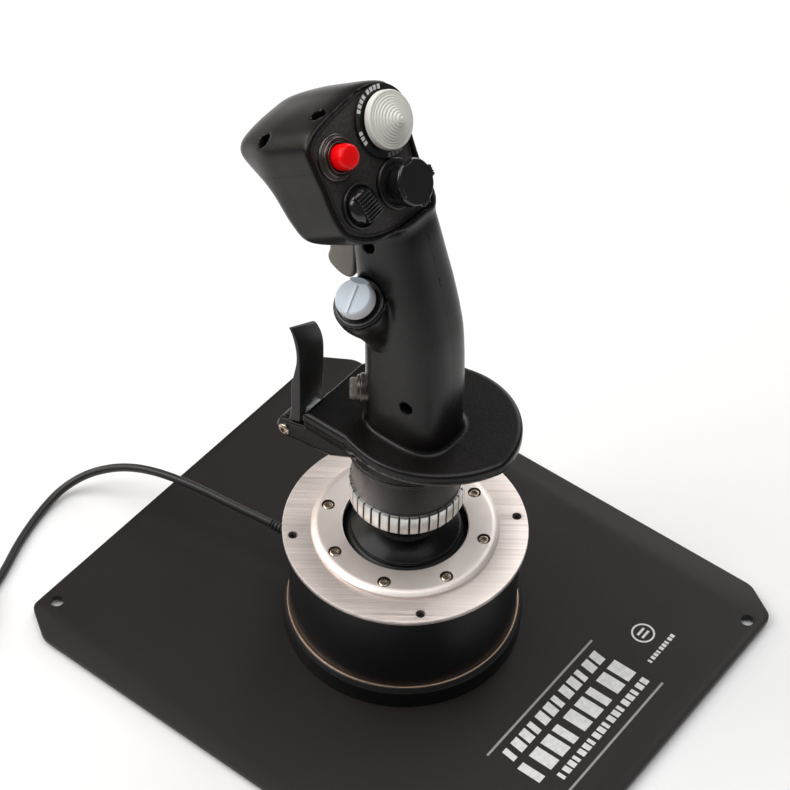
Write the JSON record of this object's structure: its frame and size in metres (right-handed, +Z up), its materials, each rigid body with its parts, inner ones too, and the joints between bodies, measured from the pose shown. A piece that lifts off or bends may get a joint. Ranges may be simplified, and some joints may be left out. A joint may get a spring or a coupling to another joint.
{
  "type": "flight joystick",
  "caption": "Desk flight joystick: pistol grip with hats, buttons, trigger and paddle on a two-axis sprung drum base with a wide mounting plate.",
  "frame": {"origin": "on the desk, centred under the base plate and the drum's axis", "axes": "+Z up, +Y forward away from the pilot, +X to the pilot's right"},
  "size_m": [0.28, 0.3601, 0.2966],
  "materials": {
    "plate_black": "satin powder coat",
    "drum_black": "satin",
    "foot_rubber": "matt",
    "screw_steel": "bright",
    "screw_black": "satin",
    "disc_brushed": "brushed",
    "ring_satin": "satin anodised",
    "nut_aluminium": "satin, ribbed",
    "gimbal_metal": "machined",
    "bearing_steel": "ground",
    "magnet": "plated",
    "circuit_board": "solder mask",
    "boot_black": "satin",
    "grip_black": "semi-satin",
    "panel_black": "satin",
    "collar_steel": "dark, polished edges",
    "trim_grey": "satin",
    "button_red": "semi-gloss",
    "hat_black": "semi-gloss",
    "hat_pale": "satin",
    "taupe": "satin",
    "lever_black": "satin",
    "switch_body": "matt",
    "cable_black": "satin"
  },
  "bodies": {
    "base": {"base_plate": "plate_black", "rubber_feet": "foot_rubber", "plate_screws": "screw_black", "drum_foot_ring": "plate_black", "drum_housing": "drum_black", "top_disc": "disc_brushed", "disc_screws": "screw_black", "inner_ring": "ring_satin", "ring_screws": "screw_steel", "strain_relief": "cable_black", "gimbal_bracket": "gimbal_metal", "pitch_bearings": "bearing_steel", "pitch_springs": "bearing_steel", "sensor_board": "circuit_board", "cable_run": "cable_black", "cable_coil": "cable_black", "usb_plug": "cable_black", "usb_shell": "bearing_steel"},
    "gimbal": {"gimbal_ring": "gimbal_metal", "roll_bearings": "bearing_steel"},
    "stick": {"stick_hub": "gimbal_metal", "roll_springs": "bearing_steel", "magnet_cup": "gimbal_metal", "sensor_magnet": "magnet", "dust_dome": "boot_black", "boot": "boot_black", "base_connector": "gimbal_metal", "pin_connector": "boot_black", "grip_collar": "boot_black", "grip_left": "grip_black", "grip_right": "grip_black", "head_cover": "grip_black", "face_plate": "panel_black", "trim_bezel": "panel_black", "red_collar": "collar_steel", "upper_hat_bezel": "panel_black", "lower_hat_bezel": "panel_black", "side_hat_collar": "panel_black", "side_button_collar": "panel_black", "hat_housings": "panel_black", "grip_board": "circuit_board", "grip_screws": "screw_black", "paddle_pin": "screw_steel", "trigger_pin": "screw_steel", "trigger_switch": "switch_body"},
    "lock_nut": {"lock_nut": "nut_aluminium"},
    "trigger": {"trigger": "taupe"},
    "paddle": {"paddle_lever": "lever_black"},
    "plunger": {"paddle_plunger": "hat_pale"},
    "side_button": {"side_button": "taupe"},
    "red_button": {"red_button": "button_red"},
    "trim_pivot": {"trim_pivot": "panel_black"},
    "trim_hat": {"trim_hat": "trim_grey"},
    "upper_hat_pivot": {"upper_hat_pivot": "panel_black"},
    "upper_hat": {"upper_hat": "hat_black"},
    "lower_hat_pivot": {"lower_hat_pivot": "panel_black"},
    "lower_hat": {"lower_hat": "hat_black"},
    "side_hat_pivot": {"side_hat_pivot": "panel_black"},
    "side_hat_stem": {"side_hat_stem": "panel_black"},
    "side_hat_cap": {"side_hat_cap": "hat_pale"}
  },
  "joints": [
    {"name": "stick_pitch", "type": "hinge", "parent": "base", "child": "gimbal", "pos_m": [0, 0, 0.034], "axis": [1, 0, 0], "range_deg": [-12, 12], "stiffness_Nm_per_rad": 6},
    {"name": "stick_roll", "type": "hinge", "parent": "gimbal", "child": "stick", "pos_m": [0, 0, 0.034], "axis": [0, 1, 0], "range_deg": [-12, 12], "stiffness_Nm_per_rad": 6},
    {"name": "lock_nut_turn", "type": "hinge", "parent": "stick", "child": "lock_nut", "pos_m": [0, 0, 0.0929], "axis": [0, 0, 1], "continuous": true},
    {"name": "trigger_pull", "type": "hinge", "parent": "stick", "child": "trigger", "pos_m": [0, 0.028, 0.2495], "axis": [-1, 0, 0], "range_deg": [0, 6], "stiffness_Nm_per_rad": 0.5, "springref_deg": -4},
    {"name": "paddle_pull", "type": "hinge", "parent": "stick", "child": "paddle", "pos_m": [0, 0.0465, 0.1185], "axis": [1, 0, 0], "range_deg": [0, 5], "stiffness_Nm_per_rad": 0.6, "springref_deg": -4},
    {"name": "plunger_press", "type": "slide", "parent": "stick", "child": "plunger", "axis": [0, -1, 0], "range_m": [0, 0.0012], "stiffness_N_per_m": 100, "springref_m": -0.001},
    {"name": "side_button_press", "type": "slide", "parent": "stick", "child": "side_button", "axis": [0.6, -0.8, 0], "range_m": [0, 0.0015], "stiffness_N_per_m": 300, "springref_m": -0.001},
    {"name": "red_button_press", "type": "slide", "parent": "stick", "child": "red_button", "axis": [0, 0.8449, -0.5349], "range_m": [0, 0.0025], "stiffness_N_per_m": 300, "springref_m": -0.001},
    {"name": "trim_tilt_up_down", "type": "hinge", "parent": "stick", "child": "trim_pivot", "pos_m": [0.0033, 0.02418, 0.27916], "axis": [1, 0, 0], "range_deg": [-4, 4], "stiffness_Nm_per_rad": 0.3},
    {"name": "trim_tilt_left_right", "type": "hinge", "parent": "trim_pivot", "child": "trim_hat", "pos_m": [0.0033, 0.02418, 0.27916], "axis": [0, 0.5349, 0.8449], "range_deg": [-4, 4], "stiffness_Nm_per_rad": 0.3},
    {"name": "upper_hat_tilt_up_down", "type": "hinge", "parent": "stick", "child": "upper_hat_pivot", "pos_m": [-0.0037, 0.01166, 0.25939], "axis": [1, 0, 0], "range_deg": [-5, 5], "stiffness_Nm_per_rad": 0.3},
    {"name": "upper_hat_tilt_left_right", "type": "hinge", "parent": "upper_hat_pivot", "child": "upper_hat", "pos_m": [-0.0037, 0.01166, 0.25939], "axis": [0, 0.5349, 0.8449], "range_deg": [-5, 5], "stiffness_Nm_per_rad": 0.3},
    {"name": "lower_hat_tilt_up_down", "type": "hinge", "parent": "stick", "child": "lower_hat_pivot", "pos_m": [-0.0243, 0.01294, 0.26142], "axis": [1, 0, 0], "range_deg": [-5, 5], "stiffness_Nm_per_rad": 0.3},
    {"name": "lower_hat_tilt_left_right", "type": "hinge", "parent": "lower_hat_pivot", "child": "lower_hat", "pos_m": [-0.0243, 0.01294, 0.26142], "axis": [0, 0.5349, 0.8449], "range_deg": [-5, 5], "stiffness_Nm_per_rad": 0.3},
    {"name": "side_hat_tilt_a", "type": "hinge", "parent": "stick", "child": "side_hat_pivot", "pos_m": [-0.01864, 0.0114, 0.20632], "axis": [0, 1, 0], "range_deg": [-5, 5], "stiffness_Nm_per_rad": 0.3},
    {"name": "side_hat_tilt_b", "type": "hinge", "parent": "side_hat_pivot", "child": "side_hat_stem", "pos_m": [-0.01864, 0.0114, 0.20632], "axis": [-0.848, 0, -0.53], "range_deg": [-5, 5], "stiffness_Nm_per_rad": 0.3},
    {"name": "side_hat_press", "type": "slide", "parent": "side_hat_stem", "child": "side_hat_cap", "axis": [0.53, 0, -0.848], "range_m": [0, 0.0006], "stiffness_N_per_m": 400, "springref_m": -0.0005}
  ],
  "couplings": [
    {"joint": "plunger_press", "follows": "paddle_pull", "m_per_rad": 0.0115}
  ]
}
